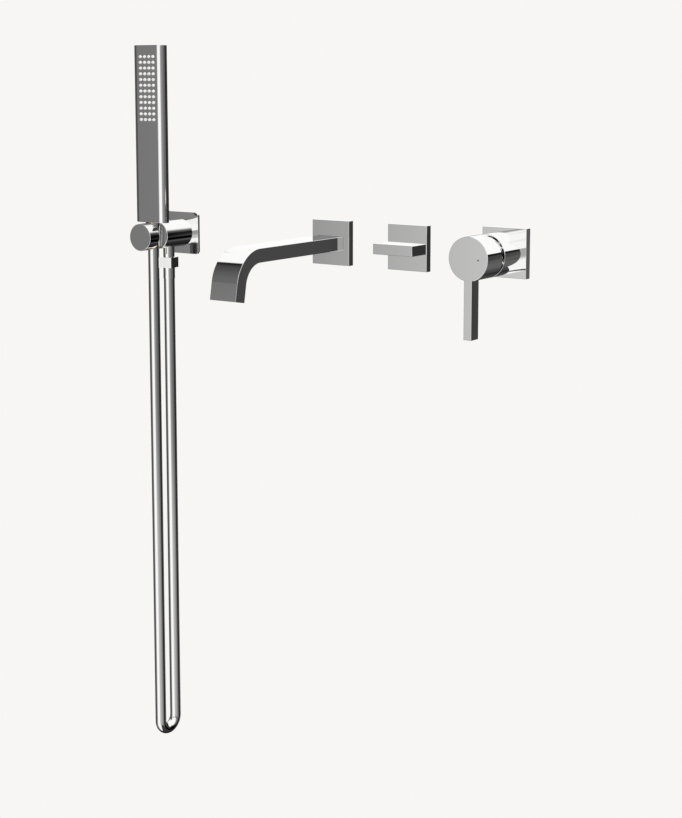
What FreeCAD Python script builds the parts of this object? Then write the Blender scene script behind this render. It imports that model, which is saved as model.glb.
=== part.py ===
import FreeCAD, Part
import math
import os

# Wall mounted bath faucet: spout, diverter knob, single-lever mixer and hand shower set.
# Millimetres. X runs along the wall to the right, Y into the wall, Z up.
# The wall face is the plane Y = 0 and the origin is the centre of the spout's mount.

os.makedirs("parts", exist_ok=True)
V = FreeCAD.Vector
NEAR = 0.02
FAR = 100.0
EDGE_ROUND = 0.5
FIT_GAP = 0.05

# ---- places on the wall ----
SPOUT_X = 0.0
DIVERTER_X = 122.0
MIXER_X = 266.0
MIXER_Z = 2.5
HOLDER_X = -266.0
HOLDER_Z = -1.2

# ---- square wall plates ----
PLATE = 60.0
MIXER_PLATE = 63.0
PLATE_THICK = 9.5
PLATE_FACE = 3.0
PLATE_RIM = 4.0
GASKET_WIDTH = 3.0
WALL_THREAD_R = 10.48
WALL_THREAD_LENGTH = 18.0
INNER_THREAD_R = 10.0
INNER_THREAD_END = -12.0
GRUB_R = 2.5

# ---- spout ----
SPOUT_WIDTH = 41.0
SPOUT_THICK = 18.0
SPOUT_BEND_Y = -190.5
SPOUT_BEND_R = 39.2
SPOUT_BEND_ANGLE = 80.0
SPOUT_NOSE = 22.8
CHANNEL_WIDTH = 31.0
CHANNEL_THICK = 9.0
SPIGOT_R = 7.0
SPIGOT_END = -36.0
SPIGOT_BORE_R = 4.5
SPIGOT_SEAL_YS = (-31.0, -25.0)
SEAL_GROOVE_R = 5.6
SEAL_GROOVE_HALF = 1.1
SEAL_WIRE_R = 0.72
NIPPLE_HEX = 24.0
NIPPLE_HEX_FRONT = -6.0
SPOUT_GRUB_Y = -14.0
GRUB_GROOVE_R = 6.0
GRUB_GROOVE_HALF = 2.8
INSERT_DEPTH = 8.0
INSERT_HALF_HEIGHT = 5.5
INSERT_CELLS = 8
INSERT_CELL_HEIGHT = 3.8
INSERT_ROW_PITCH = 4.6
INSERT_RIB = 0.8

# ---- diverter knob ----
KNOB_WIDTH = 60.0
KNOB_HEIGHT = 13.7
KNOB_FRONT = -45.0
KNOB_BACK = -11.2
SPINDLE_R = 5.0
SPINDLE_SQUARE = 7.0
SPINDLE_TIP = -25.0
SPINDLE_SHOULDER = -11.0
SPINDLE_HEAD = (2.6, 4.8)
SPINDLE_O_RING_Y = -2.2
KNOB_GRUB_Y = -18.0
HEADWORK_HEX = 30.0
HEADWORK_HEX_FRONT = -5.0
HEADWORK_COLLAR_R = 9.0
HEADWORK_FRONT = -6.3
DIVERTER_THREAD_R = 12.0
DIVERTER_THREAD_END = 15.5
DISC_ROOM_R = 10.0
DISC_ROOM_FRONT = 2.3
DISC_R = 9.4
MOVING_DISC = (4.8, 8.0)
FIXED_DISC = (8.1, 11.7)
DISC_PORT_Z = 4.6
DISC_PORT_R = 2.6
DOG_X = (4.0, 7.0)
DOG_HALF_HEIGHT = 1.5
DOG_DEPTH = 1.5

# ---- mixer ----
MIXER_R = 27.35
SLEEVE_WALL = 3.0
SLEEVE_FRONT = -56.0
DOME_CROWN = 3.0
DOME_LIP = 1.0
DOME_OPENING_R = 13.0
CORE_R = 23.6
CORE_FRONT = -50.0
CORE_THREAD_R = 22.5
CORE_BACK = 12.0
CARTRIDGE_R = 17.5
CARTRIDGE_BACK = -14.0
CARTRIDGE_FRONT = -44.0
CARTRIDGE_WALL = 1.4
CARTRIDGE_LID = 1.7
GUIDE_NECK_R = 10.5
GUIDE_R = 15.7
GUIDE_BACK = -32.9
CHEEK_GAP = 12.1
CHEEK_BACK = -25.0
STEM_SLOT = (-6.3, 8.8)
NUT_R = 20.8
NUT_OPENING_R = 12.0
BASE_R = 16.0
BASE_FRONT = -20.0
FIXED_PORT_DISC = (-24.0, -20.0)
MOVING_PORT_DISC = (-28.0, -24.1)
CARRIAGE_R = 11.5
CARRIAGE_FRONT = -32.6
PORT_SEAL_DEPTH = 2.0
PORT_SEAL_WALL = 1.5
PORT_RING_DEPTH = 1.2
PIVOT_Y = -40.0
PIVOT_R = 1.5
PIVOT_HALF = 13.5
HEAD_FRONT = -98.7
HEAD_BACK_TOP = -67.6
HEAD_BACK_BOTTOM = -58.4
LEVER_WIDTH = 11.0
LEVER_BACK = -81.9
LEVER_END_Z = -97.2
HEAD_FACE = 4.0
HEAD_BOSS_R = 8.0
HEAD_BOSS_BACK = -64.0
LEVER_GRUB_Y = -74.0
DOT_R = 1.1
DOT_DEPTH = 1.5
DOT_PLACE = (13.9, -0.8)
STEM_SQUARE = 8.0
STEM_FRONT = -87.5
STEM_BALL_R = 2.6
STEM_BALL_Y = -31.5
PORTS = ((-7.5, 4.0), (7.5, 4.0), (0.0, -8.0))
PORT_R = 3.6

# ---- hand shower holder and wall outlet ----
HOLDER_R = 19.0
HOLDER_PLATE_THICK = 3.5
HOLDER_CORNER_R = 5.5
RING_Y = -57.5
CAP_BACK = -77.5
CAP_FRONT = -93.9
HEAD_R = 18.15
SEAT_Y = -65.9
SLOT_WIDTH = 16.4
OUTLET_Y = -33.1
OUTLET_R = 8.0
OUTLET_SHOULDER_Z = -33.9
OUTLET_TOP_Z = -8.0
OUTLET_BORE_R = 4.5
OUTLET_THREAD_R = 7.5
OUTLET_END_Z = -43.6
GASKET_HALF = 26.0
HOLDER_GASKET_THICK = 1.2
HOLDER_NECK_R = 13.8
WATER_WAY_R = 6.0
HEAD_BACK = -46.0
HOLDER_GRUB_Y = -50.0
HOLDER_GRUB_TOP = -15.0
CAP_OVERLAP = 2.0
CAP_FACE = 3.0

# ---- check valve in the outlet tube ----
VALVE_R = 5.5
VALVE_BORE_R = 4.5
VALVE_TOP = -26.0
VALVE_LOW = -42.6
VALVE_SEAT_LOW = -28.0
VALVE_SEAT_R = 2.8
VALVE_FOOT_TOP = -41.6
VALVE_FOOT_HOLES = 4
POPPET_HEAD = (-29.6, -28.2)
POPPET_HEAD_R = 3.9
POPPET_STEM_R = 1.0
SPRING_R = 2.6
SPRING_WIRE_R = 0.3
SPRING_PITCH = 2.2

# ---- hose ----
HOSE_R = 7.75
HOSE_BORE_R = 4.7
HOSE_START_Z = -50.6
HOSE_END_Z = -17.6
HOSE_CORNER_Z = -723.05
HOSE_LOW_Z = -732.6
HOSE_BACK_LOW_Y = -42.7
HOSE_FRONT_LOW_Y = -56.3
NUT_SQUARE = 19.4
NUT_TURN = 8.0
NUT_LOW = -48.8
NUT_FLOOR = -47.0
NUT_CROWN_R = 13.2
NUT_CROWN_DEPTH = 7.0
NUT_HOLE_R = 5.9
INSERT_HEAD_R = 7.3
INSERT_HEAD_TOP = -45.4
BARB_LENGTH = 14.0
BARB_BORE_R = 3.3
FERRULE_R = 8.25
FERRULE_LOW = -64.4
CONE_LOW_Z = -16.4
CONE_HIGH_Z = 17.8
CONE_LOW_R = 8.7
CONE_HIGH_R = 10.6
SEAT_GAP = 0.3
LINER_WALL = 1.0
SWIVEL_HEAD_R = 7.95
SWIVEL_HEAD = (-12.0, -9.5)
SWIVEL_NECK_R = 6.5
NUT_LIP_TOP = -12.2
NUT_LIP_R = 6.8
INLET_LOW = -7.2
HOSE_WASHER_BORE_R = 4.6

# ---- hand shower ----
HANDSET_BOTTOM = 18.3
HANDSET_TOP = 265.0
HANDSET_WIDTH = 54.0
HANDSET_DEPTH = 17.0
HANDSET_WALL = 1.8
HANDSET_FLOOR = 2.7
HANDSET_ROOF = 2.5
HANDSET_INLET_R = 8.3
INLET_BORE_R = 3.8
INLET_FLANGE = (9.5, 6.2, 3.9)
MAT_HALF = 17.0
MAT_THICK = 1.2
MAT_MARGIN = 7.0
CHAMBER_WALL = 1.5
CHAMBER_PIPE_R = 5.2
CHAMBER_SHIFT = 0.5
NOZZLE_PITCH_X = 7.7
NOZZLE_PITCH_Z = 7.9
NOZZLE_COLUMNS = 4
NOZZLE_ROWS = 12
NOZZLE_TOP_Z = 249.0
NOZZLE_R = 2.3
NOZZLE_TIP_R = 1.4
NOZZLE_BORE_R = 0.5
NOZZLE_STAND = 1.8


def box(x0, x1, y0, y1, z0, z1):
    return Part.makeBox(x1 - x0, y1 - y0, z1 - z0, V(x0, y0, z0))


def rod_x(radius, x0, x1, y, z):
    return Part.makeCylinder(radius, x1 - x0, V(x0, y, z), V(1, 0, 0))


def rod_y(radius, y0, y1, x, z):
    return Part.makeCylinder(radius, y1 - y0, V(x, y0, z), V(0, 1, 0))


def rod_z(radius, z0, z1, x, y):
    return Part.makeCylinder(radius, z1 - z0, V(x, y, z0), V(0, 0, 1))


def tube_y(outer, inner, y0, y1, x, z):
    return rod_y(outer, y0, y1, x, z).cut(rod_y(inner, y0, y1, x, z))


def tube_z(outer, inner, z0, z1, x, y):
    return rod_z(outer, z0, z1, x, y).cut(rod_z(inner, z0, z1, x, y))


def taper_z(low_r, high_r, z0, z1, x, y):
    return Part.makeCone(low_r, high_r, z1 - z0, V(x, y, z0), V(0, 0, 1))


def hexagon_y(across_flats, y0, y1, x, z):
    corner = across_flats / math.sqrt(3)
    points = []
    for step in range(7):
        turn = math.radians(60 * step)
        points.append(V(x + corner * math.cos(turn), y0, z + corner * math.sin(turn)))
    return Part.Face(Part.makePolygon(points)).extrude(V(0, y1 - y0, 0))


def join(first, *others):
    return first.multiFuse(list(others)).removeSplitter()


def round_edges(shape, size, keep):
    edges = [edge for edge in shape.Edges if keep(edge.BoundBox)]
    return shape.makeFillet(size, edges)


def at_y(y):
    return lambda b: abs(b.YMin - y) < NEAR and abs(b.YMax - y) < NEAR


def at_z(z):
    return lambda b: abs(b.ZMin - z) < NEAR and abs(b.ZMax - z) < NEAR


def flat_in_x(b):
    return b.XMax - b.XMin < NEAR


def export(name, shape):
    solids = len(shape.Solids)
    print(name, "solids", solids, "volume", round(shape.Volume, 1), "valid", shape.isValid())
    shape.exportStep("parts/" + name + ".step")


# ---------------------------------------------------------------- wall plates
def wall_plate(x, z, size, opening):
    half = size / 2
    inner = half - PLATE_RIM
    plate = box(x - half, x + half, -PLATE_THICK, 0, z - half, z + half)
    plate = round_edges(plate, EDGE_ROUND, at_y(-PLATE_THICK))
    pocket = box(x - inner, x + inner, PLATE_FACE - PLATE_THICK, 0, z - inner, z + inner)
    return plate.cut(pocket).cut(opening)


def plate_gasket(x, z, size):
    outer = size / 2 - PLATE_RIM
    inner = outer - GASKET_WIDTH
    depth = PLATE_FACE - PLATE_THICK
    pad = box(x - outer, x + outer, depth, 0, z - outer, z + outer)
    return pad.cut(box(x - inner, x + inner, depth, 0, z - inner, z + inner))


def grub_screw_z(x, y, low, high):
    key_half = 1.0
    key_depth = 1.2
    screw = rod_z(GRUB_R, low, high, x, y)
    return screw.cut(box(x - key_half, x + key_half, y - key_half, y + key_half, low, low + key_depth))


# ---------------------------------------------------------------- spout
def bend_point(radius, angle):
    turn = math.radians(angle)
    y = SPOUT_BEND_Y - radius * math.sin(turn)
    return V(0, y, radius * math.cos(turn) - SPOUT_BEND_R)


def bent_band(thickness, width, back):
    outer = SPOUT_BEND_R + thickness / 2
    inner = SPOUT_BEND_R - thickness / 2
    turn = math.radians(SPOUT_BEND_ANGLE)
    nose = V(0, -math.cos(turn), -math.sin(turn)) * SPOUT_NOSE
    middle = SPOUT_BEND_ANGLE / 2
    outer_end = bend_point(outer, SPOUT_BEND_ANGLE)
    inner_end = bend_point(inner, SPOUT_BEND_ANGLE)
    top = bend_point(outer, 0)
    low = bend_point(inner, 0)
    top_back = V(0, back, thickness / 2)
    low_back = V(0, back, -thickness / 2)
    outline = [
        Part.LineSegment(top_back, top).toShape(),
        Part.Arc(top, bend_point(outer, middle), outer_end).toShape(),
        Part.LineSegment(outer_end, outer_end + nose).toShape(),
        Part.LineSegment(outer_end + nose, inner_end + nose).toShape(),
        Part.LineSegment(inner_end + nose, inner_end).toShape(),
        Part.Arc(inner_end, bend_point(inner, middle), low).toShape(),
        Part.LineSegment(low, low_back).toShape(),
        Part.LineSegment(low_back, top_back).toShape(),
    ]
    band = Part.Face(Part.Wire(outline)).extrude(V(width, 0, 0))
    band.translate(V(SPOUT_X - width / 2, 0, 0))
    return band


def to_nose(shape):
    moved = shape.copy()
    moved.rotate(V(0, SPOUT_BEND_Y, -SPOUT_BEND_R), V(1, 0, 0), SPOUT_BEND_ANGLE)
    return moved


def make_spout():
    half = SPOUT_WIDTH / 2
    thick_half = SPOUT_THICK / 2
    gap = 0.2
    back = PLATE_FACE - PLATE_THICK + 0.3
    tip = SPOUT_BEND_Y - SPOUT_NOSE
    opening = box(SPOUT_X - half - gap, SPOUT_X + half + gap, -PLATE_THICK, 0,
                  -thick_half - gap, thick_half + gap)
    export("spout_plate", wall_plate(SPOUT_X, 0, PLATE, opening))

    cassette_half = CHANNEL_WIDTH / 2 + 1
    body = round_edges(bent_band(SPOUT_THICK, SPOUT_WIDTH, back), EDGE_ROUND, flat_in_x)
    channel_back = 4.0
    channel = bent_band(CHANNEL_THICK, CHANNEL_WIDTH, SPIGOT_END - channel_back)
    cassette = box(SPOUT_X - cassette_half, SPOUT_X + cassette_half, tip - 1,
                   tip + INSERT_DEPTH, -INSERT_HALF_HEIGHT, INSERT_HALF_HEIGHT)
    body = body.cut(channel).cut(to_nose(cassette))
    body = body.cut(rod_y(SPIGOT_R + FIT_GAP, SPIGOT_END - channel_back - 1, back, SPOUT_X, 0))
    body = body.cut(rod_z(GRUB_R, -thick_half - 1, 0, SPOUT_X, SPOUT_GRUB_Y))
    export("spout_body", body)

    recess = 0.6
    insert = box(SPOUT_X - cassette_half, SPOUT_X + cassette_half, tip + recess,
                 tip + INSERT_DEPTH, -INSERT_HALF_HEIGHT, INSERT_HALF_HEIGHT)
    pitch = (CHANNEL_WIDTH - 1) / INSERT_CELLS
    cell_half = (pitch - INSERT_RIB) / 2
    for column in range(INSERT_CELLS):
        x = SPOUT_X - (INSERT_CELLS - 1) * pitch / 2 + column * pitch
        for z in (-INSERT_ROW_PITCH / 2, INSERT_ROW_PITCH / 2):
            hole = box(x - cell_half, x + cell_half, tip, tip + INSERT_DEPTH + 1,
                       z - INSERT_CELL_HEIGHT / 2, z + INSERT_CELL_HEIGHT / 2)
            insert = insert.cut(hole)
    export("spout_flow_insert", to_nose(insert))

    nipple = join(
        rod_y(WALL_THREAD_R, 0, WALL_THREAD_LENGTH, SPOUT_X, 0),
        hexagon_y(NIPPLE_HEX, NIPPLE_HEX_FRONT, 0, SPOUT_X, 0),
        rod_y(SPIGOT_R, SPIGOT_END, NIPPLE_HEX_FRONT, SPOUT_X, 0))
    for y in SPIGOT_SEAL_YS:
        groove = tube_y(SPIGOT_R + 1, SEAL_GROOVE_R, y - SEAL_GROOVE_HALF, y + SEAL_GROOVE_HALF, SPOUT_X, 0)
        nipple = nipple.cut(groove)
    low = SPOUT_GRUB_Y - GRUB_GROOVE_HALF
    high = SPOUT_GRUB_Y + GRUB_GROOVE_HALF
    nipple = nipple.cut(tube_y(SPIGOT_R + 1, GRUB_GROOVE_R, low, high, SPOUT_X, 0))
    nipple = nipple.cut(rod_y(SPIGOT_BORE_R, SPIGOT_END, WALL_THREAD_LENGTH, SPOUT_X, 0))
    export("spout_nipple", nipple)

    ring_r = SEAL_GROOVE_R + SEAL_WIRE_R
    seals = [Part.makeTorus(ring_r, SEAL_WIRE_R, V(SPOUT_X, y, 0), V(0, 1, 0)) for y in SPIGOT_SEAL_YS]
    export("spout_o_rings", Part.makeCompound(seals))


# ---------------------------------------------------------------- diverter
def diverter_dogs():
    """The two driving dogs on the spindle's head, which sit in the moving disc."""
    near, far = DOG_X
    front = SPINDLE_HEAD[1]
    x = DIVERTER_X
    back = front + DOG_DEPTH
    left = box(x - far, x - near, front, back, -DOG_HALF_HEIGHT, DOG_HALF_HEIGHT)
    right = box(x + near, x + far, front, back, -DOG_HALF_HEIGHT, DOG_HALF_HEIGHT)
    return [left, right]


def make_diverter():
    x = DIVERTER_X
    plate_hole = rod_y(SPINDLE_R + 1.3, -PLATE_THICK, 0, x, 0)
    export("diverter_plate", wall_plate(x, 0, PLATE, plate_hole))

    half_width = KNOB_WIDTH / 2
    half_height = KNOB_HEIGHT / 2
    handle = box(x - half_width, x + half_width, KNOB_FRONT, KNOB_BACK, -half_height, half_height)
    handle = handle.makeFillet(EDGE_ROUND, handle.Edges)
    half = SPINDLE_SQUARE / 2 + FIT_GAP
    handle = handle.cut(box(x - half, x + half, SPINDLE_TIP - 0.3, KNOB_BACK, -half, half))
    handle = handle.cut(rod_z(GRUB_R, -half_height, -half, x, KNOB_GRUB_Y))
    export("diverter_handle", handle)
    screw = grub_screw_z(x, KNOB_GRUB_Y, -half_height + 0.4, -half + FIT_GAP)
    export("diverter_grub_screw", screw)

    housing = join(
        rod_y(DIVERTER_THREAD_R, 0, DIVERTER_THREAD_END, x, 0),
        hexagon_y(HEADWORK_HEX, HEADWORK_HEX_FRONT, 0, x, 0),
        rod_y(HEADWORK_COLLAR_R, HEADWORK_FRONT, HEADWORK_HEX_FRONT, x, 0))
    housing = housing.cut(rod_y(DISC_ROOM_R, DISC_ROOM_FRONT, DIVERTER_THREAD_END, x, 0))
    housing = housing.cut(rod_y(SPINDLE_R + 0.06, HEADWORK_FRONT, DISC_ROOM_FRONT, x, 0))
    export("diverter_housing", housing)

    half = SPINDLE_SQUARE / 2
    ring_wire = 0.5
    groove_r = 3.8
    groove_half = 0.8
    spindle = join(
        box(x - half, x + half, SPINDLE_TIP, SPINDLE_SHOULDER, -half, half),
        rod_y(SPINDLE_R, SPINDLE_SHOULDER - 0.2, SPINDLE_HEAD[0], x, 0),
        rod_y(DISC_R, *SPINDLE_HEAD, x, 0),
        *diverter_dogs())
    low = SPINDLE_O_RING_Y - groove_half
    high = SPINDLE_O_RING_Y + groove_half
    spindle = spindle.cut(tube_y(SPINDLE_R + 1, groove_r, low, high, x, 0))
    export("diverter_spindle", spindle)
    ring_place = V(x, SPINDLE_O_RING_Y, 0)
    export("diverter_o_ring", Part.makeTorus(groove_r + 0.55, ring_wire, ring_place, V(0, 1, 0)))

    moving = rod_y(DISC_R, *MOVING_DISC, x, 0)
    for dog in diverter_dogs():
        moving = moving.cut(dog)
    recess_r = 7.6
    recess_front = 6.6
    shut_half = box(x - DISC_R, x + DISC_R, recess_front - 0.1, MOVING_DISC[1] + 0.1, -DISC_R, 0.5)
    moving = moving.cut(rod_y(recess_r, recess_front, MOVING_DISC[1], x, 0).cut(shut_half))
    export("diverter_moving_disc", moving)

    fixed = rod_y(DISC_ROOM_R, *FIXED_DISC, x, 0)
    seal = rod_y(DISC_ROOM_R, FIXED_DISC[1], DIVERTER_THREAD_END, x, 0)
    for port_z in (-DISC_PORT_Z, DISC_PORT_Z):
        fixed = fixed.cut(rod_y(DISC_PORT_R, *FIXED_DISC, x, port_z))
        seal = seal.cut(rod_y(DISC_PORT_R + 0.4, FIXED_DISC[1], DIVERTER_THREAD_END, x, port_z))
    export("diverter_fixed_disc", fixed)
    export("diverter_seal", seal)


# ---------------------------------------------------------------- mixer
def make_mixer_trim():
    x = MIXER_X
    z = MIXER_Z
    bore = MIXER_R - SLEEVE_WALL
    export("mixer_plate", wall_plate(x, z, MIXER_PLATE, rod_y(bore, -PLATE_THICK, 0, x, z)))
    export("mixer_gasket", plate_gasket(x, z, MIXER_PLATE))

    sleeve = rod_y(MIXER_R, SLEEVE_FRONT, -PLATE_THICK, x, z)
    sleeve = round_edges(sleeve, EDGE_ROUND, at_y(SLEEVE_FRONT))
    export("mixer_sleeve", sleeve.cut(rod_y(bore, SLEEVE_FRONT, -PLATE_THICK, x, z)))

    ball_r = (bore * bore + DOME_CROWN * DOME_CROWN) / (2 * DOME_CROWN)
    front = SLEEVE_FRONT - DOME_CROWN
    ball = Part.makeSphere(ball_r, V(x, front + ball_r, z))
    dome = rod_y(bore - 0.1, front, CORE_FRONT, x, z).common(ball)
    dome = dome.cut(rod_y(bore - SLEEVE_WALL, SLEEVE_FRONT + DOME_LIP, CORE_FRONT, x, z))
    dome = dome.cut(rod_y(DOME_OPENING_R, front - 1, CORE_FRONT, x, z))
    export("mixer_dome", dome)


def head_wedge(x, z):
    reach = MIXER_R + 10
    slope = (HEAD_BACK_BOTTOM - HEAD_BACK_TOP) / (2 * MIXER_R)
    points = [
        V(x - reach, HEAD_BACK_TOP - slope * (reach - MIXER_R), z + reach),
        V(x - reach, HEAD_BACK_BOTTOM + slope * (reach - MIXER_R), z - reach),
        V(x - reach, 0, z - reach),
        V(x - reach, 0, z + reach),
    ]
    return Part.Face(Part.makePolygon(points + points[:1])).extrude(V(2 * reach, 0, 0))


def make_lever():
    x = MIXER_X
    z = MIXER_Z
    half = LEVER_WIDTH / 2
    head = rod_y(MIXER_R, HEAD_FRONT, HEAD_BACK_BOTTOM, x, z).cut(head_wedge(x, z))
    bar = box(x - half, x + half, HEAD_FRONT, LEVER_BACK, LEVER_END_Z, z - MIXER_R + 4)
    handle = head.fuse(bar).removeSplitter()
    handle = round_edges(handle, EDGE_ROUND, at_y(HEAD_FRONT))
    inside = HEAD_FRONT + HEAD_FACE
    room = rod_y(MIXER_R - SLEEVE_WALL, inside, HEAD_BACK_BOTTOM, x, z)
    room = room.cut(rod_y(HEAD_BOSS_R, inside, HEAD_BOSS_BACK, x, z))
    handle = handle.cut(room)
    socket = STEM_SQUARE / 2 + FIT_GAP
    socket_front = STEM_FRONT - 0.5
    handle = handle.cut(box(x - socket, x + socket, socket_front, HEAD_BOSS_BACK, z - socket, z + socket))
    handle = handle.cut(rod_z(GRUB_R, z - MIXER_R - 1, z - socket, x, LEVER_GRUB_Y))
    dot = rod_y(DOT_R, HEAD_FRONT, HEAD_FRONT + DOT_DEPTH, x + DOT_PLACE[0], z + DOT_PLACE[1])
    export("lever_handle", handle.cut(dot))
    export("lever_index_dot", dot)
    screw_low = z - HEAD_BOSS_R - 0.6
    export("lever_grub_screw", grub_screw_z(x, LEVER_GRUB_Y, screw_low, z - socket + FIT_GAP))

    half = STEM_SQUARE / 2
    knuckle_r = 5.0
    stem = join(
        box(x - half, x + half, STEM_FRONT, PIVOT_Y - 3, z - half, z + half),
        rod_x(knuckle_r, x - half, x + half, PIVOT_Y, z),
        rod_y(STEM_BALL_R, PIVOT_Y + 2, STEM_BALL_Y, x, z),
        Part.makeSphere(STEM_BALL_R, V(x, STEM_BALL_Y, z)))
    export("cartridge_stem", stem.cut(rod_x(PIVOT_R, x - half - 2, x + half + 2, PIVOT_Y, z)))


def make_cartridge():
    x = MIXER_X
    z = MIXER_Z
    inside = CARTRIDGE_FRONT + CARTRIDGE_LID
    housing = rod_y(CARTRIDGE_R, CARTRIDGE_FRONT, CARTRIDGE_BACK, x, z)
    housing = housing.cut(rod_y(CARTRIDGE_R - CARTRIDGE_WALL, inside, CARTRIDGE_BACK, x, z))
    housing = housing.cut(rod_y(GUIDE_NECK_R + 0.4, CARTRIDGE_FRONT, inside, x, z))
    export("cartridge_housing", housing)

    base = rod_y(BASE_R, BASE_FRONT, CARTRIDGE_BACK, x, z)
    disc = rod_y(BASE_R - 0.8, *FIXED_PORT_DISC, x, z)
    seal_r = PORT_R + PORT_SEAL_WALL
    seal_front = CARTRIDGE_BACK - PORT_SEAL_DEPTH
    seals = []
    for dx, dz in PORTS:
        base = base.cut(rod_y(PORT_R, BASE_FRONT, CARTRIDGE_BACK, x + dx, z + dz))
        base = base.cut(rod_y(seal_r, seal_front, CARTRIDGE_BACK, x + dx, z + dz))
        disc = disc.cut(rod_y(PORT_R - 0.6, *FIXED_PORT_DISC, x + dx, z + dz))
        seals.append(tube_y(seal_r, PORT_R, seal_front, CARTRIDGE_BACK, x + dx, z + dz))
    export("cartridge_base", base)
    export("cartridge_fixed_disc", disc)
    export("cartridge_port_seals", Part.makeCompound(seals))

    chamber_r = 7.5
    chamber_front = -26.0
    moving = rod_y(CARRIAGE_R, *MOVING_PORT_DISC, x, z)
    chamber = rod_y(chamber_r, chamber_front, MOVING_PORT_DISC[1], x, z - 1.5)
    export("cartridge_moving_disc", moving.cut(chamber))
    carriage = rod_y(CARRIAGE_R, CARRIAGE_FRONT, MOVING_PORT_DISC[0], x, z)
    slot_half = STEM_BALL_R + 0.2
    slot_reach = 3.4
    slot = box(x - slot_half, x + slot_half, CARRIAGE_FRONT, MOVING_PORT_DISC[0] - 0.6,
               z - slot_reach, z + slot_reach)
    export("cartridge_carriage", carriage.cut(slot))

    neck_front = -48.5
    neck_back = -42.0
    guide = join(
        rod_y(GUIDE_R, neck_back, GUIDE_BACK, x, z),
        rod_y(GUIDE_NECK_R, neck_front, neck_back, x, z))
    cheeks = rod_y(GUIDE_R, GUIDE_BACK - 0.3, CHEEK_BACK, x, z)
    between = box(x - CHEEK_GAP, x + CHEEK_GAP, GUIDE_BACK - 1, CHEEK_BACK, z - GUIDE_R, z + GUIDE_R)
    cheeks = cheeks.cut(between)
    guide = guide.fuse(cheeks).removeSplitter()
    half = STEM_SQUARE / 2 + 0.3
    slot_low, slot_high = STEM_SLOT
    guide = guide.cut(box(x - half, x + half, neck_front, GUIDE_BACK, z + slot_low, z + slot_high))
    guide = guide.cut(rod_x(PIVOT_R, x - PIVOT_HALF - 0.5, x + PIVOT_HALF + 0.5, PIVOT_Y, z))
    export("cartridge_guide", guide)
    pin_r = PIVOT_R - FIT_GAP
    export("cartridge_pin", rod_x(pin_r, x - PIVOT_HALF, x + PIVOT_HALF, PIVOT_Y, z))

    nut = rod_y(NUT_R, CORE_FRONT + 0.6, CARTRIDGE_FRONT, x, z)
    export("cartridge_nut", nut.cut(rod_y(NUT_OPENING_R, CORE_FRONT, CARTRIDGE_FRONT, x, z)))


def make_mixer_core():
    x = MIXER_X
    z = MIXER_Z
    core = join(
        rod_y(CORE_R, CORE_FRONT, 0, x, z),
        rod_y(CORE_THREAD_R, 0, CORE_BACK, x, z))
    core = core.cut(rod_y(CARTRIDGE_R + 0.1, CARTRIDGE_FRONT, CARTRIDGE_BACK, x, z))
    core = core.cut(rod_y(NUT_R + FIT_GAP, CORE_FRONT, CARTRIDGE_FRONT, x, z))
    ring_front = CORE_BACK - PORT_RING_DEPTH
    ring_r = PORT_R + 1.4
    rings = []
    for dx, dz in PORTS:
        core = core.cut(rod_y(PORT_R, CARTRIDGE_BACK, CORE_BACK, x + dx, z + dz))
        core = core.cut(rod_y(ring_r, ring_front, CORE_BACK, x + dx, z + dz))
        ring = tube_y(ring_r - FIT_GAP, PORT_R + 0.1, ring_front, CORE_BACK, x + dx, z + dz)
        rings.append(ring)
    export("mixer_core", core)
    export("mixer_port_rings", Part.makeCompound(rings))


# ---------------------------------------------------------------- shower holder
def seat_cone(extra):
    """The handset's cone, grown by extra and run past both ends of the holder."""
    slope = (CONE_HIGH_R - CONE_LOW_R) / (CONE_HIGH_Z - CONE_LOW_Z)
    past = 6.0
    low = CONE_LOW_R - slope * past + extra
    high = CONE_HIGH_R + slope * past + extra
    return taper_z(low, high, CONE_LOW_Z - past, CONE_HIGH_Z + past, HOLDER_X, SEAT_Y)


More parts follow.
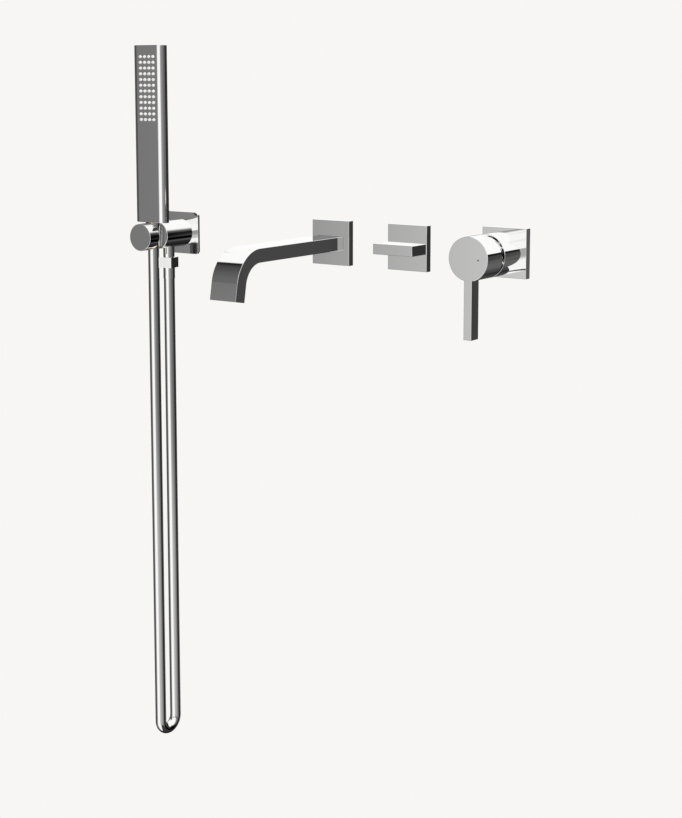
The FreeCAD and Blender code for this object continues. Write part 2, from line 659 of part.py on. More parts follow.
def make_holder():
    x = HOLDER_X
    z = HOLDER_Z
    half = PLATE / 2
    plate = box(x - half, x + half, -HOLDER_PLATE_THICK, 0, z - half, z + half)
    plate = round_edges(plate, HOLDER_CORNER_R, lambda b: flat_in_x(b) and b.ZMax - b.ZMin < NEAR)
    plate = round_edges(plate, EDGE_ROUND, at_y(-HOLDER_PLATE_THICK))
    pocket = box(x - GASKET_HALF, x + GASKET_HALF, -HOLDER_GASKET_THICK, 0,
                 z - GASKET_HALF, z + GASKET_HALF)
    plate = plate.cut(pocket).cut(rod_y(HOLDER_NECK_R + 0.2, -HOLDER_PLATE_THICK, 0, x, z))
    export("holder_plate", plate)
    gasket_hole_r = 18.0
    export("holder_gasket", pocket.cut(rod_y(gasket_hole_r, -HOLDER_GASKET_THICK, 0, x, z)))

    nipple = join(
        rod_y(WALL_THREAD_R, 0, WALL_THREAD_LENGTH, x, z),
        rod_y(INNER_THREAD_R, INNER_THREAD_END, 0, x, z))
    bore = rod_y(WATER_WAY_R + 0.5, INNER_THREAD_END, WALL_THREAD_LENGTH, x, z)
    export("holder_nipple", nipple.cut(bore))

    seat_bore = seat_cone(SEAT_GAP + LINER_WALL)
    grub_hole = rod_z(GRUB_R, z - HOLDER_R, z + HOLDER_GRUB_TOP + 1, x, HOLDER_GRUB_Y)
    body = rod_y(HOLDER_R, RING_Y, -HOLDER_PLATE_THICK, x, z)
    body = round_edges(body, EDGE_ROUND, at_y(RING_Y))
    body = body.fuse(rod_y(HOLDER_NECK_R, -HOLDER_PLATE_THICK, -0.6, x, z)).removeSplitter()
    body = body.cut(rod_y(INNER_THREAD_R, INNER_THREAD_END, 0, x, z))
    body = body.cut(rod_y(WATER_WAY_R, OUTLET_Y - 6, INNER_THREAD_END, x, z))
    body = body.cut(rod_y(HEAD_R, RING_Y, HEAD_BACK, x, z))
    body = body.cut(rod_z(OUTLET_R, z - HOLDER_R - 1, OUTLET_TOP_Z, x, OUTLET_Y))
    body = body.cut(rod_z(OUTLET_BORE_R + 0.5, OUTLET_TOP_Z - 1, z, x, OUTLET_Y))
    export("holder_body", body.cut(grub_hole).cut(seat_bore))

    head = rod_y(HEAD_R, CAP_BACK - CAP_OVERLAP, HEAD_BACK - 0.1, x, z).cut(seat_bore)
    slot = box(x, x + FAR, SEAT_Y - SLOT_WIDTH / 2, SEAT_Y + SLOT_WIDTH / 2, z - FAR, z + FAR)
    head_screw_hole = rod_z(GRUB_R, z - HOLDER_R, z + HOLDER_GRUB_TOP, x, HOLDER_GRUB_Y)
    export("holder_head", head.cut(slot).cut(head_screw_hole))

    cap = rod_y(HOLDER_R, CAP_FRONT, CAP_BACK, x, z)
    cap = round_edges(cap, EDGE_ROUND, at_y(CAP_FRONT))
    cap = cap.cut(rod_y(HEAD_R, CAP_BACK - CAP_OVERLAP - 0.1, CAP_BACK, x, z))
    cap = cap.cut(rod_y(HOLDER_R - CAP_FACE, CAP_FRONT + CAP_FACE, CAP_BACK, x, z))
    export("holder_front_cap", cap.cut(seat_bore))

    liner = seat_bore.cut(seat_cone(SEAT_GAP)).cut(slot)
    export("holder_seat_liner", liner.common(rod_y(HEAD_R - 0.1, CAP_FRONT, 0, x, z)))

    screw_low = z - HOLDER_R + 0.6
    holder_screw = grub_screw_z(x, HOLDER_GRUB_Y, screw_low, z + HOLDER_GRUB_TOP)
    spout_screw = grub_screw_z(SPOUT_X, SPOUT_GRUB_Y, -SPOUT_THICK / 2 + 0.3, -GRUB_GROOVE_R - FIT_GAP)
    export("body_grub_screws", Part.makeCompound([holder_screw, spout_screw]))


def make_outlet():
    x = HOLDER_X
    y = OUTLET_Y
    tube = join(
        rod_z(OUTLET_R, OUTLET_SHOULDER_Z, OUTLET_TOP_Z, x, y),
        rod_z(OUTLET_THREAD_R, OUTLET_END_Z, OUTLET_SHOULDER_Z, x, y))
    tube = tube.cut(rod_z(VALVE_R, OUTLET_END_Z, VALVE_TOP, x, y))
    tube = tube.cut(rod_z(OUTLET_BORE_R, VALVE_TOP - 1, OUTLET_TOP_Z, x, y))
    export("outlet_tube", tube)

    valve = tube_z(VALVE_R, VALVE_BORE_R, VALVE_LOW, VALVE_TOP, x, y)
    seat = tube_z(VALVE_BORE_R, VALVE_SEAT_R, VALVE_SEAT_LOW, VALVE_TOP, x, y)
    foot = tube_z(VALVE_BORE_R, POPPET_STEM_R + 0.4, VALVE_LOW, VALVE_FOOT_TOP, x, y)
    hole_ring_r = 3.0
    hole_r = 0.9
    for turn in range(VALVE_FOOT_HOLES):
        angle = 2 * math.pi * (turn + 0.5) / VALVE_FOOT_HOLES
        hole_x = x + hole_ring_r * math.cos(angle)
        hole_y = y + hole_ring_r * math.sin(angle)
        foot = foot.cut(rod_z(hole_r, VALVE_LOW, VALVE_FOOT_TOP, hole_x, hole_y))
    export("check_valve_body", join(valve, seat, foot))

    head_low, head_high = POPPET_HEAD
    poppet = join(
        taper_z(POPPET_HEAD_R, VALVE_SEAT_R - 0.3, head_low, head_high, x, y),
        rod_z(POPPET_STEM_R, VALVE_LOW - 0.4, head_low, x, y))
    export("check_valve_poppet", poppet)

    low = VALVE_FOOT_TOP + SPRING_WIRE_R
    high = head_low - SPRING_WIRE_R
    coil = Part.makeHelix(SPRING_PITCH, high - low, SPRING_R)
    wire = Part.Wire([Part.makeCircle(SPRING_WIRE_R, V(SPRING_R, 0, 0), V(0, 1, 0))])
    spring = Part.Wire(coil.Edges).makePipeShell([wire], True, True)
    spring.translate(V(x, y, low))
    export("check_valve_spring", spring)


# ---------------------------------------------------------------- hose
HOSE_ROUTE = [
    V(HOLDER_X, OUTLET_Y, HOSE_START_Z),
    V(HOLDER_X, OUTLET_Y, HOSE_CORNER_Z),
    V(HOLDER_X, HOSE_BACK_LOW_Y, HOSE_LOW_Z),
    V(HOLDER_X, HOSE_FRONT_LOW_Y, HOSE_LOW_Z),
    V(HOLDER_X, SEAT_Y, HOSE_CORNER_Z),
    V(HOLDER_X, SEAT_Y, HOSE_END_Z),
]


def rounded_path(points):
    """Straight runs joined by tangent arcs; returns the wire, its length and its radii."""
    edges = []
    radii = []
    start = points[0]
    for before, corner, after in zip(points, points[1:], points[2:]):
        back = before - corner
        ahead = after - corner
        shorter = min(back.Length, ahead.Length)
        back.normalize()
        ahead.normalize()
        half_turn = (math.pi - back.getAngle(ahead)) / 2
        setback = 0.45 * shorter
        radius = setback / math.tan(half_turn)
        middle = back + ahead
        middle.normalize()
        first = corner + back * setback
        last = corner + ahead * setback
        deep = corner + middle * (radius / math.cos(half_turn) - radius)
        edges.append(Part.LineSegment(start, first).toShape())
        edges.append(Part.Arc(first, deep, last).toShape())
        radii.append(round(radius, 2))
        start = last
    edges.append(Part.LineSegment(start, points[-1]).toShape())
    return Part.Wire(edges), radii


def pipe_along(path, radius, start):
    profile = Part.Wire([Part.makeCircle(radius, start, V(0, 0, 1))])
    return path.makePipeShell([profile], True, False)


def make_hose():
    path, radii = rounded_path(HOSE_ROUTE)
    hose = pipe_along(path, HOSE_R, HOSE_ROUTE[0]).cut(pipe_along(path, HOSE_BORE_R, HOSE_ROUTE[0]))
    section = math.pi * (HOSE_R ** 2 - HOSE_BORE_R ** 2)
    print("hose length", round(path.Length, 1), "arc radii", radii)
    print("hose volume over section x length", round(hose.Volume / (section * path.Length), 4))
    export("hose", hose)


def make_outlet_end():
    x = HOLDER_X
    y = OUTLET_Y
    half = NUT_SQUARE / 2
    high = OUTLET_SHOULDER_Z - 0.2
    crown_low = high - NUT_CROWN_DEPTH
    wide = NUT_CROWN_R + NUT_CROWN_DEPTH
    nut = box(x - half, x + half, y - half, y + half, NUT_LOW, high)
    crown = taper_z(wide, NUT_CROWN_R, crown_low, high, x, y)
    nut = nut.common(crown.fuse(rod_z(wide, NUT_LOW, crown_low, x, y)))
    nut = nut.cut(rod_z(OUTLET_THREAD_R, NUT_FLOOR, high, x, y))
    nut = nut.cut(rod_z(NUT_HOLE_R, NUT_LOW, NUT_FLOOR, x, y))
    nut.rotate(V(x, y, 0), V(0, 0, 1), NUT_TURN)
    export("hose_nut", nut)

    washer = tube_z(INSERT_HEAD_R, HOSE_WASHER_BORE_R, INSERT_HEAD_TOP, OUTLET_END_Z, x, y)
    export("hose_washer", washer)
    neck_r = 5.8
    barb_low = HOSE_START_Z - BARB_LENGTH
    insert = join(
        rod_z(INSERT_HEAD_R, NUT_FLOOR, INSERT_HEAD_TOP, x, y),
        rod_z(neck_r, HOSE_START_Z, NUT_FLOOR, x, y),
        rod_z(HOSE_BORE_R, barb_low, HOSE_START_Z, x, y))
    export("hose_insert", insert.cut(rod_z(BARB_BORE_R, barb_low, INSERT_HEAD_TOP, x, y)))
    ferrule = rod_z(FERRULE_R, FERRULE_LOW, NUT_LOW - 0.1, x, y)
    ferrule = ferrule.cut(rod_z(HOSE_R, FERRULE_LOW, HOSE_START_Z, x, y))
    export("hose_ferrule", ferrule.cut(rod_z(neck_r + FIT_GAP, HOSE_START_Z, NUT_LOW, x, y)))


def make_handset_end():
    x = HOLDER_X
    y = SEAT_Y
    nut = taper_z(CONE_LOW_R, CONE_HIGH_R, CONE_LOW_Z, CONE_HIGH_Z, x, y)
    nut = nut.cut(rod_z(NUT_LIP_R, CONE_LOW_Z, NUT_LIP_TOP, x, y))
    nut = nut.cut(rod_z(HANDSET_INLET_R + FIT_GAP, NUT_LIP_TOP, CONE_HIGH_Z, x, y))
    export("hose_cone_nut", nut)

    head_low, head_high = SWIVEL_HEAD
    flange_top = HOSE_END_Z + 1.0
    barb_low = HOSE_END_Z - BARB_LENGTH
    insert = join(
        rod_z(HOSE_BORE_R, barb_low, HOSE_END_Z, x, y),
        rod_z(HOSE_R, HOSE_END_Z, flange_top, x, y),
        rod_z(SWIVEL_NECK_R, flange_top, head_low, x, y),
        rod_z(SWIVEL_HEAD_R, head_low, head_high, x, y))
    export("hose_swivel_insert", insert.cut(rod_z(BARB_BORE_R, barb_low, head_high, x, y)))
    washer_low = head_high + 0.2
    washer = tube_z(SWIVEL_HEAD_R - FIT_GAP, HOSE_WASHER_BORE_R, washer_low, INLET_LOW, x, y)
    export("handset_washer", washer)


# ---------------------------------------------------------------- hand shower
def stadium(width, depth, z0, z1):
    half = width / 2
    radius = depth / 2
    flat = half - radius
    middle = box(HOLDER_X - flat, HOLDER_X + flat, SEAT_Y - radius, SEAT_Y + radius, z0, z1)
    left = rod_z(radius, z0, z1, HOLDER_X - flat, SEAT_Y)
    right = rod_z(radius, z0, z1, HOLDER_X + flat, SEAT_Y)
    return middle.multiFuse([left, right]).removeSplitter()


def nozzle_places():
    places = []
    for column in range(NOZZLE_COLUMNS):
        x = HOLDER_X + (column - (NOZZLE_COLUMNS - 1) / 2) * NOZZLE_PITCH_X
        for row in range(NOZZLE_ROWS):
            places.append((x, NOZZLE_TOP_Z - row * NOZZLE_PITCH_Z))
    return places


def make_handset():
    x = HOLDER_X
    front = SEAT_Y - HANDSET_DEPTH / 2
    floor = HANDSET_BOTTOM + HANDSET_FLOOR
    roof = HANDSET_TOP - HANDSET_ROOF
    outside = stadium(HANDSET_WIDTH, HANDSET_DEPTH, HANDSET_BOTTOM, HANDSET_TOP)
    outside = round_edges(outside, EDGE_ROUND, at_z(HANDSET_TOP))
    outside = round_edges(outside, EDGE_ROUND, at_z(HANDSET_BOTTOM))
    wall = 2 * HANDSET_WALL
    inside = stadium(HANDSET_WIDTH - wall, HANDSET_DEPTH - wall, floor, roof)
    shell = outside.cut(inside)
    shell = shell.cut(rod_z(HANDSET_INLET_R, HANDSET_BOTTOM, floor, x, SEAT_Y))
    front_half = box(x - FAR, x + FAR, SEAT_Y - FAR, SEAT_Y, 0, HANDSET_TOP)
    back_half = box(x - FAR, x + FAR, SEAT_Y, SEAT_Y + FAR, 0, HANDSET_TOP)
    places = nozzle_places()
    holes = [rod_y(NOZZLE_R, front - 1, front + HANDSET_WALL + 1, px, pz) for px, pz in places]
    export("handset_front", shell.common(front_half).cut(Part.makeCompound(holes)))
    export("handset_back", shell.common(back_half))

    mat_back = front + HANDSET_WALL + MAT_THICK
    low = NOZZLE_TOP_Z - NOZZLE_ROWS * NOZZLE_PITCH_Z - 1
    high = NOZZLE_TOP_Z + MAT_MARGIN
    mat = box(x - MAT_HALF, x + MAT_HALF, front + HANDSET_WALL, mat_back, low, high)
    stub_r = NOZZLE_R - FIT_GAP
    tip = front - NOZZLE_STAND
    stubs = [rod_y(stub_r, front, mat_back, px, pz) for px, pz in places]
    tips = [Part.makeCone(NOZZLE_TIP_R, stub_r, NOZZLE_STAND, V(px, tip, pz), V(0, 1, 0))
            for px, pz in places]
    bores = [rod_y(NOZZLE_BORE_R, tip, mat_back, px, pz) for px, pz in places]
    export("nozzle_mat", mat.multiFuse(stubs + tips).cut(Part.makeCompound(bores)))

    inner = MAT_HALF - CHAMBER_WALL
    chamber_back = SEAT_Y + HANDSET_DEPTH / 2 - HANDSET_WALL - 0.3
    pipe_y = SEAT_Y + CHAMBER_SHIFT
    chamber = box(x - MAT_HALF, x + MAT_HALF, mat_back, chamber_back, low, high)
    hollow = box(x - inner, x + inner, mat_back, chamber_back - CHAMBER_WALL,
                 low + CHAMBER_WALL, high - CHAMBER_WALL)
    chamber = chamber.cut(hollow).cut(rod_z(INLET_BORE_R, low, low + CHAMBER_WALL, x, pipe_y))
    inlet_top = floor + INLET_FLANGE[2]
    pipe = tube_z(CHAMBER_PIPE_R, INLET_BORE_R, inlet_top + 0.1, low, x, pipe_y)
    export("spray_chamber", join(chamber, pipe))

    half_x, half_y, _ = INLET_FLANGE
    inlet = join(
        rod_z(HANDSET_INLET_R, INLET_LOW, floor, x, SEAT_Y),
        box(x - half_x, x + half_x, SEAT_Y - half_y, SEAT_Y + half_y, floor, inlet_top))
    export("handset_inlet", inlet.cut(rod_z(INLET_BORE_R, INLET_LOW, inlet_top, x, pipe_y)))


make_spout()
make_diverter()
export("plate_gaskets", Part.makeCompound([
    plate_gasket(SPOUT_X, 0, PLATE), plate_gasket(DIVERTER_X, 0, PLATE)]))
make_mixer_core()
make_cartridge()
make_mixer_trim()
make_lever()
make_holder()
make_outlet()
make_hose()
make_outlet_end()
make_handset_end()
make_handset()
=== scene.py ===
import math

import bmesh
import bpy
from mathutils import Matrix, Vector


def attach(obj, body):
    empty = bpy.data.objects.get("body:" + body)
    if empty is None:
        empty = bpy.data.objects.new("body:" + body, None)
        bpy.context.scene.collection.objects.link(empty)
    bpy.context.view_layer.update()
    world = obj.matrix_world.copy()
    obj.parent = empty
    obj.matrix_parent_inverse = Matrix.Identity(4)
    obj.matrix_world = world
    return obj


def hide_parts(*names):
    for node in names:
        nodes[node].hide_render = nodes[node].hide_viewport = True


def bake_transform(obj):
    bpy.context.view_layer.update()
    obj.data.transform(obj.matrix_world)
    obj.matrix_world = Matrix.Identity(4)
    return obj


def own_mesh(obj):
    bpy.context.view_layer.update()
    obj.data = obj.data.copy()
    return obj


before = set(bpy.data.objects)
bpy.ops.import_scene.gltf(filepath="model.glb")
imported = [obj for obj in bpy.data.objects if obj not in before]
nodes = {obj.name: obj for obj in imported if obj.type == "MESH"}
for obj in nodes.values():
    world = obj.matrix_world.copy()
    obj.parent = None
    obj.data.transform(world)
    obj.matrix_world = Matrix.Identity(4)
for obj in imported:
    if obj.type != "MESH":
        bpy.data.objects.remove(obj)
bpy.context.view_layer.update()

# ---- camera: to the right of the set and a little above it, tilted down ----
IMAGE_HEIGHT = 818
FOCAL_PIXELS = 1634.6
SHIFT_PIXELS = 110.0
SENSOR = 36.0
CAMERA_PLACE = Vector((1.2602, -1.8036, 0.2220))
CAMERA_YAW = math.radians(34.72)
CAMERA_PITCH = math.radians(-7.76)

# ---- stage ----
PALE = (0.930, 0.922, 0.905)
FLOOR_Z = -1.6
FLOOR_HALF = 60.0
KEY_PLACE = Vector((1.2, -1.6, 1.4))
KEY_AIM = Vector((-0.1, -0.1, -0.1))
KEY_SIZE = 1.2
KEY_POWER = 25.0

# The studio's brightness round the object, in bands that go up. Each band says the elevation
# where it starts, the width over which it fades in, and its brightness at a few azimuths.
# All angles are in degrees, and an azimuth goes from straight out of the wall to the right.
STUDIO = (
    (-90, 1, ((-180, 0.01), (-100, 0.03), (-45, 0.25), (-20, 1.0), (30, 1.0), (60, 0.05),
              (180, 0.02))),
    (-34, 8, ((-180, 0.02), (-150, 0.08), (-52, 0.08), (-46, 0.17), (-41, 0.2), (-35.5, 0.33),
              (-31, 0.5), (-28, 0.59), (-23, 1.0), (22, 1.0), (27, 0.6), (50, 0.47), (70, 0.38),
              (90, 0.25), (112, 0.12), (124, 0.0), (147, 0.0), (150, 0.04), (154, 0.12),
              (163, 0.12), (170, 0.07), (180, 0.05))),
    (-14, 6, ((-180, 0.02), (-150, 0.08), (-52, 0.08), (-46, 0.17), (-41, 0.19), (-35.5, 0.33),
              (-31, 0.5), (-28, 0.59), (-23, 1.0), (22, 1.0), (27, 0.42), (50, 0.27), (83, 0.16),
              (118, 0.09), (124, 0.0), (139, 0.0), (141, 0.06), (145, 0.06), (146, 0.02),
              (150, 0.04), (152, 0.11), (153.5, 0.1), (155, 0.01), (180, 0.01))),
    (3.2, 1.5, ((-180, 1.0), (-125, 1.0), (-110, 0.08), (-52, 0.06), (-41, 0.17), (-30, 0.3),
                (-23, 1.0), (-17, 1.0), (-14, 0.36), (14, 0.5), (17, 1.0), (22, 1.0), (27, 0.42),
                (50, 0.27), (83, 0.16), (118, 0.09), (124, 0.0), (152, 0.01), (166, 1.0),
                (180, 1.0))),
    (8.6, 1.5, ((-180, 1.0), (-125, 1.0), (-110, 0.05), (-52, 0.05), (-44, 0.12), (-36, 0.15),
                (-26, 0.3), (-20, 1.0), (-17, 1.0), (-14, 0.32), (14, 0.45), (17, 1.0),
                (40, 1.0), (83, 0.5), (124, 0.1), (138, 0.02),
                (141, 0.05), (144, 0.22), (147, 0.6), (150, 1.0), (180, 1.0))),
    (24, 8, ((-180, 1.0), (-74, 1.0), (-71, 0.0), (-66, 0.02), (-60, 0.06), (-52, 0.08),
             (-45, 0.11), (-34, 0.13), (-26, 0.5), (-20, 1.0), (140, 1.0), (144, 0.6),
             (150, 1.0), (180, 1.0))),
    (56, 4, ((-180, 1.0), (180, 1.0))),
)

# ---- hose: its route goes from under the wall outlet to the hand shower ----
HOSE_X = -0.266
HOSE_DIAMETER = 0.0155
HOSE_BORE = 0.0094
HOSE_ROUTE = (
    (HOSE_X, -0.0331, -0.0506),
    (HOSE_X, -0.0331, -0.7095),
    (HOSE_X, -0.0331, -0.72305),
    (HOSE_X, -0.0427, -0.7326),
    (HOSE_X, -0.0563, -0.7326),
    (HOSE_X, -0.0659, -0.72305),
    (HOSE_X, -0.0659, -0.7095),
    (HOSE_X, -0.0659, -0.0176),
)
HOSE_SIDES = 64
HOSE_SPLINE_ORDER = 3
HOSE_SPLINE_STEPS = 24

# ---- check valve spring, a coil that runs from its foot up to its top ----
SPRING_CENTRE = Vector((HOSE_X, -0.0331, 0.0))
SPRING_FOOT = -0.0416
SPRING_TOP = -0.0296
SPRING_RADIUS = 0.0026
SPRING_WIRE = 0.0003
SPRING_PITCH = 0.0022
SPRING_GAP = 0.00003
SPRING_SIDES = 12
SPRING_STEPS_PER_TURN = 28


# ---- edges that turn by less than this are shaded smooth ----
SHARP_ANGLE = math.radians(35.0)

# ---- sockets of Blender's Mix node when it mixes colours ----
MIX_SHARE = 0
MIX_FIRST = 6
MIX_SECOND = 7
MIX_RESULT = 2


# ---------------------------------------------------------------- node helpers
class Shader:
    """A short way to add nodes to a material or to the world."""

    def __init__(self, tree):
        self.tree = tree
        tree.nodes.clear()

    def add(self, kind, inputs=None, **settings):
        node = self.tree.nodes.new(kind)
        for name, value in settings.items():
            setattr(node, name, value)
        for name, value in (inputs or {}).items():
            socket = node.inputs[name]
            if isinstance(value, bpy.types.NodeSocket):
                self.tree.links.new(value, socket)
            else:
                socket.default_value = value
        return node

    def math(self, operation, first, second=0.0):
        return self.add("ShaderNodeMath", {0: first, 1: second}, operation=operation).outputs[0]

    def span(self, value, low, high, to_low=0.0, to_high=1.0, smooth=False):
        inputs = {"Value": value, "From Min": low, "From Max": high, "To Min": to_low,
                  "To Max": to_high}
        kind = "SMOOTHSTEP" if smooth else "LINEAR"
        return self.add("ShaderNodeMapRange", inputs, interpolation_type=kind).outputs["Result"]

    def mix_colour(self, share, first, second):
        inputs = {MIX_SHARE: share, MIX_FIRST: first, MIX_SECOND: second}
        return self.add("ShaderNodeMix", inputs, data_type="RGBA").outputs[MIX_RESULT]

    def noise(self, scale, detail=3.0, stretch=(1.0, 1.0, 1.0)):
        place = self.add("ShaderNodeTexCoord").outputs["Object"]
        mapped = self.add("ShaderNodeMapping", {"Vector": place, "Scale": stretch})
        inputs = {"Vector": mapped.outputs["Vector"], "Scale": scale, "Detail": detail}
        return self.add("ShaderNodeTexNoise", inputs).outputs["Fac"]

    def bump(self, height, strength, distance):
        inputs = {"Height": height, "Strength": strength, "Distance": distance}
        return self.add("ShaderNodeBump", inputs).outputs["Normal"]


def rgba(colour):
    return (*colour, 1.0)


# ---------------------------------------------------------------- stage, light and camera
def make_world():
    world = bpy.data.worlds.new("studio")
    world.use_nodes = True
    bpy.context.scene.world = world
    shader = Shader(world.node_tree)
    way = shader.add("ShaderNodeTexCoord").outputs["Generated"]
    parts = shader.add("ShaderNodeSeparateXYZ", {"Vector": way})
    outward = shader.math("MULTIPLY", parts.outputs["Y"], -1.0)
    azimuth = shader.math("ARCTAN2", parts.outputs["X"], outward)
    turn = shader.span(azimuth, -math.pi, math.pi)
    elevation = shader.math("ARCSINE", parts.outputs["Z"])
    light = None
    for start, softness, stops in STUDIO:
        ramp = shader.add("ShaderNodeValToRGB", {"Fac": turn})
        band = ramp.color_ramp
        while len(band.elements) < len(stops):
            band.elements.new(0.5)
        for element, (degrees, _) in zip(band.elements, stops):
            element.position = (degrees + 180) / 360
        for element, (_, value) in zip(band.elements, stops):
            element.color = (value, value, value, 1.0)
        if light is None:
            light = ramp.outputs["Color"]
        else:
            low = math.radians(start - softness / 2)
            high = math.radians(start + softness / 2)
            share = shader.span(elevation, low, high, smooth=True)
            light = shader.mix_colour(share, light, ramp.outputs["Color"])
    seen = shader.add("ShaderNodeLightPath").outputs["Is Camera Ray"]
    colour = shader.mix_colour(seen, light, rgba(PALE))
    glow = shader.add("ShaderNodeBackground", {"Color": colour, "Strength": 1.0})
    shader.add("ShaderNodeOutputWorld", {"Surface": glow.outputs["Background"]})


def make_floor():
    material = bpy.data.materials.new("pale_floor")
    material.use_nodes = True
    shader = Shader(material.node_tree)
    glow = shader.add("ShaderNodeEmission", {"Color": rgba(PALE), "Strength": 1.0})
    shader.add("ShaderNodeOutputMaterial", {"Surface": glow.outputs["Emission"]})
    signs = [(-1, -1), (1, -1), (1, 1), (-1, 1)]
    corners = [(x * FLOOR_HALF, y * FLOOR_HALF, FLOOR_Z) for x, y in signs]
    mesh = bpy.data.meshes.new("floor")
    mesh.from_pydata(corners, [], [(0, 1, 2, 3)])
    mesh.materials.append(material)
    floor = bpy.data.objects.new("floor", mesh)
    bpy.context.scene.collection.objects.link(floor)
    floor.visible_glossy = False


def make_key_light():
    lamp = bpy.data.lights.new("key_light", "AREA")
    lamp.size = KEY_SIZE
    lamp.energy = KEY_POWER
    softbox = bpy.data.objects.new("key_light", lamp)
    softbox.location = KEY_PLACE
    softbox.rotation_euler = (KEY_AIM - KEY_PLACE).to_track_quat("-Z", "Y").to_euler()
    softbox.visible_glossy = False
    softbox.visible_camera = False
    bpy.context.scene.collection.objects.link(softbox)


def make_camera():
    lens = bpy.data.cameras.new("camera")
    lens.sensor_width = SENSOR
    lens.lens = FOCAL_PIXELS / IMAGE_HEIGHT * SENSOR
    lens.shift_y = -SHIFT_PIXELS / IMAGE_HEIGHT
    camera = bpy.data.objects.new("camera", lens)
    camera.location = CAMERA_PLACE
    camera.rotation_euler = (math.pi / 2 + CAMERA_PITCH, 0.0, CAMERA_YAW)
    bpy.context.scene.collection.objects.link(camera)
    bpy.context.scene.camera = camera


# ---------------------------------------------------------------- materials
def principled(name, build):
    """A material whose build(shader) returns the Principled shader's inputs."""
    material = bpy.data.materials.new(name)
    material.use_nodes = True
    shader = Shader(material.node_tree)
    surface = shader.add("ShaderNodeBsdfPrincipled", build(shader))
    shader.add("ShaderNodeOutputMaterial", {"Surface": surface.outputs["BSDF"]})
    return material


def polished(colour, roughness, variation):
    """A plated surface: a faint film breaks up the gloss, and the metal is almost flat."""

    def build(shader):
        film = shader.noise(scale=35.0, detail=4.0)
        fine = shader.noise(scale=900.0, detail=2.0)
        return {
            "Base Color": rgba(colour),
            "Metallic": 1.0,
            "Roughness": shader.span(film, 0.35, 0.7, roughness, roughness + variation),
            "Normal": shader.bump(fine, strength=0.02, distance=0.00002),
        }

    return build


def machined(colour, roughness):
    """Turned metal: fine rings round the wall's normal and a slight stain."""

    def build(shader):
        rings = shader.noise(scale=300.0, detail=2.0, stretch=(0.05, 1.0, 0.05))
        stain = shader.noise(scale=60.0, detail=4.0)
        dark = tuple(0.75 * part for part in colour)
        return {
            "Base Color": shader.mix_colour(shader.span(stain, 0.4, 0.7), rgba(colour), rgba(dark)),
            "Metallic": 1.0,
            "Roughness": shader.span(rings, 0.3, 0.7, roughness, roughness + 0.12),
            "Normal": shader.bump(rings, strength=0.15, distance=0.0001),
        }

    return build


def moulded(colour, roughness, grain=700.0, depth=0.00005):
    """Moulded plastic, rubber or sintered ceramic: a fine grain in gloss and height."""

    def build(shader):
        speckle = shader.noise(scale=grain, detail=3.0)
        cloud = shader.noise(scale=40.0, detail=2.0)
        dim = tuple(0.9 * part for part in colour)
        return {
            "Base Color": shader.mix_colour(cloud, rgba(colour), rgba(dim)),
            "Roughness": shader.span(speckle, 0.3, 0.7, roughness, roughness + 0.1),
            "Normal": shader.bump(speckle, strength=0.25, distance=depth),
        }

    return build


def make_materials():
    recipes = {
        "chrome": polished((0.96, 0.96, 0.955), 0.03, 0.03),
        "chrome_plastic": polished((0.95, 0.95, 0.945), 0.045, 0.03),
        "hose_skin": polished((0.95, 0.95, 0.945), 0.05, 0.04),
        "brass": machined((0.78, 0.57, 0.26), 0.24),
        "steel": machined((0.62, 0.61, 0.6), 0.22),
        "ceramic": moulded((0.86, 0.85, 0.82), 0.18, grain=1500.0, depth=0.00001),
        "rubber": moulded((0.02, 0.02, 0.021), 0.55),
        "foam": moulded((0.05, 0.05, 0.052), 0.85, grain=350.0, depth=0.0004),
        "plastic_grey": moulded((0.3, 0.3, 0.31), 0.38),
        "plastic_white": moulded((0.8, 0.8, 0.79), 0.35),
        "silicone": moulded((0.9, 0.9, 0.89), 0.42),
        "dark_mark": moulded((0.03, 0.03, 0.035), 0.3),
    }
    return {name: principled(name + "_finish", build) for name, build in recipes.items()}


# ---------------------------------------------------------------- hose
def spline_points(name, route):
    """Points of the smooth line through a cord's route, evenly read from its NURBS spline."""
    curve = bpy.data.curves.new(name, "CURVE")
    curve.dimensions = "3D"
    curve.resolution_u = HOSE_SPLINE_STEPS
    spline = curve.splines.new("NURBS")
    spline.points.add(len(route) - 1)
    for point, place in zip(spline.points, route):
        point.co = (*place, 1.0)
    spline.order_u = HOSE_SPLINE_ORDER
    spline.use_endpoint_u = True
    line = bpy.data.objects.new(name, curve)
    mesh = bpy.data.meshes.new_from_object(line)
    points = [vertex.co.copy() for vertex in mesh.vertices]
    bpy.data.meshes.remove(mesh)
    bpy.data.objects.remove(line)
    bpy.data.curves.remove(curve)
    return points


def tube_along(name, points, outer, inner, sides):
    """A pipe with a wall along a line that lies in a plane of constant X."""
    across = Vector((1.0, 0.0, 0.0))
    bm = bmesh.new()
    walls = {outer: [], inner: []}
    for index, point in enumerate(points):
        before = points[max(index - 1, 0)]
        after = points[min(index + 1, len(points) - 1)]
        side = (after - before).normalized().cross(across)
        for radius, rings in walls.items():
            ring = []
            for step in range(sides):
                turn = 2 * math.pi * step / sides
                offset = math.cos(turn) * across + math.sin(turn) * side
                ring.append(bm.verts.new(point + radius * offset))
            rings.append(ring)
    for rings in walls.values():
        for first, second in zip(rings, rings[1:]):
            bridge(bm, first, second)
    for end in (0, -1):
        bridge(bm, walls[outer][end], walls[inner][end])
    return finish_mesh(name, bm)


def bridge(bm, first, second):
    count = len(first)
    for step in range(count):
        following = (step + 1) % count
        bm.faces.new((first[step], first[following], second[following], second[step]))


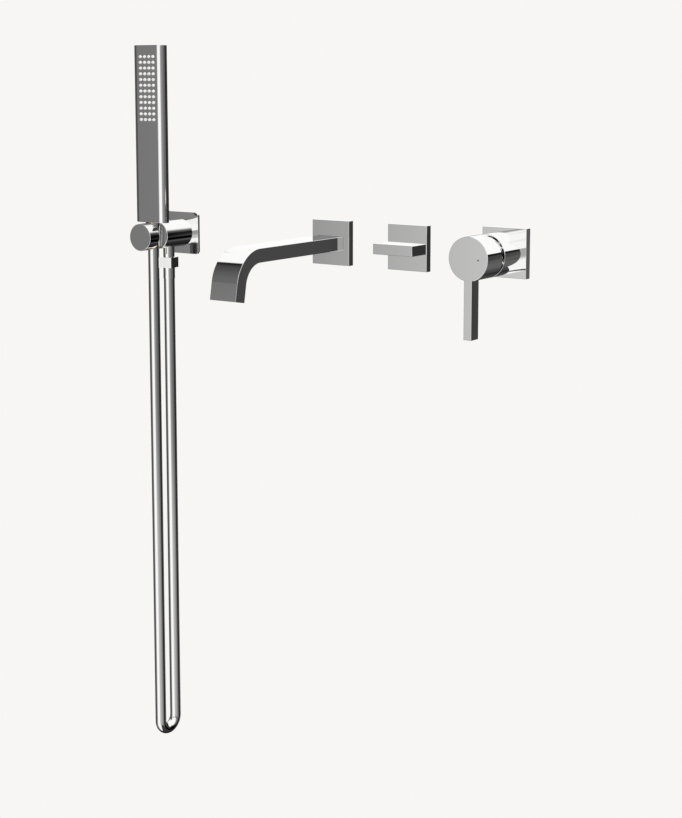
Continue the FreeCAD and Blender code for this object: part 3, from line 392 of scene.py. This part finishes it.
def finish_mesh(name, bm):
    """Turns the faces outwards, shades them smooth except at sharp edges, links the object."""
    bmesh.ops.recalc_face_normals(bm, faces=bm.faces)
    for face in bm.faces:
        face.smooth = True
    for edge in bm.edges:
        edge.smooth = edge.calc_face_angle(0.0) < SHARP_ANGLE
    mesh = bpy.data.meshes.new(name)
    bm.to_mesh(mesh)
    bm.free()
    piece = bpy.data.objects.new(name, mesh)
    bpy.context.scene.collection.objects.link(piece)
    return piece


def make_hose():
    points = spline_points("hose_line", HOSE_ROUTE)
    hose = tube_along("shower_hose", points, HOSE_DIAMETER / 2, HOSE_BORE / 2, HOSE_SIDES)
    hose.data.materials.append(materials["hose_skin"])
    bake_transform(hose)
    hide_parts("hose")


def finish_cad_nodes():
    """Every CAD node takes the material made for its own slot."""
    for node in nodes.values():
        for slot in node.material_slots:
            slot_name = slot.material.name.split(".")[0]
            slot.material = materials[slot_name]


def make_valve_spring():
    """A coil of wire from its foot up to its top, fixed to the root body."""
    low = SPRING_FOOT + SPRING_WIRE + SPRING_GAP
    rise = SPRING_TOP - SPRING_FOOT - 2 * (SPRING_WIRE + SPRING_GAP)
    turns = rise / SPRING_PITCH
    steps = round(SPRING_STEPS_PER_TURN * turns)
    bm = bmesh.new()
    rings = []
    for step in range(steps + 1):
        turn = 2 * math.pi * turns * step / steps
        outward = Vector((math.cos(turn), math.sin(turn), 0.0))
        centre = SPRING_CENTRE + SPRING_RADIUS * outward
        centre.z = low + rise * step / steps
        ring = []
        for side in range(SPRING_SIDES):
            angle = 2 * math.pi * side / SPRING_SIDES
            offset = outward * math.cos(angle) + Vector((0.0, 0.0, math.sin(angle)))
            ring.append(bm.verts.new(centre + SPRING_WIRE * offset))
        rings.append(ring)
    for first, second in zip(rings, rings[1:]):
        bridge(bm, first, second)
    bm.faces.new(rings[0])
    bm.faces.new(rings[-1])
    spring = finish_mesh("valve_spring", bm)
    spring.data.materials.append(materials["steel"])
    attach(spring, "root")
    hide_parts("check_valve_spring")
    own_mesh(spring)


def shade_neighbours():
    """Keeps the spout, the diverter, the hose and the holder's plate out of the mirror finish
    of the fittings beside them, with the pieces that they cover."""
    unseen = ("spout_body", "spout_flow_insert", "spout_nipple", "spout_o_rings",
              "body_grub_screws", "plate_gaskets", "holder_plate", "holder_gasket",
              "holder_nipple")
    for name, node in nodes.items():
        if name in unseen or name.startswith("diverter_"):
            node.visible_glossy = False
    bpy.data.objects["shower_hose"].visible_glossy = False


materials = make_materials()
bpy.context.scene.view_settings.view_transform = "Standard"
make_world()
make_floor()
make_camera()
make_key_light()
finish_cad_nodes()
make_hose()
make_valve_spring()
shade_neighbours()
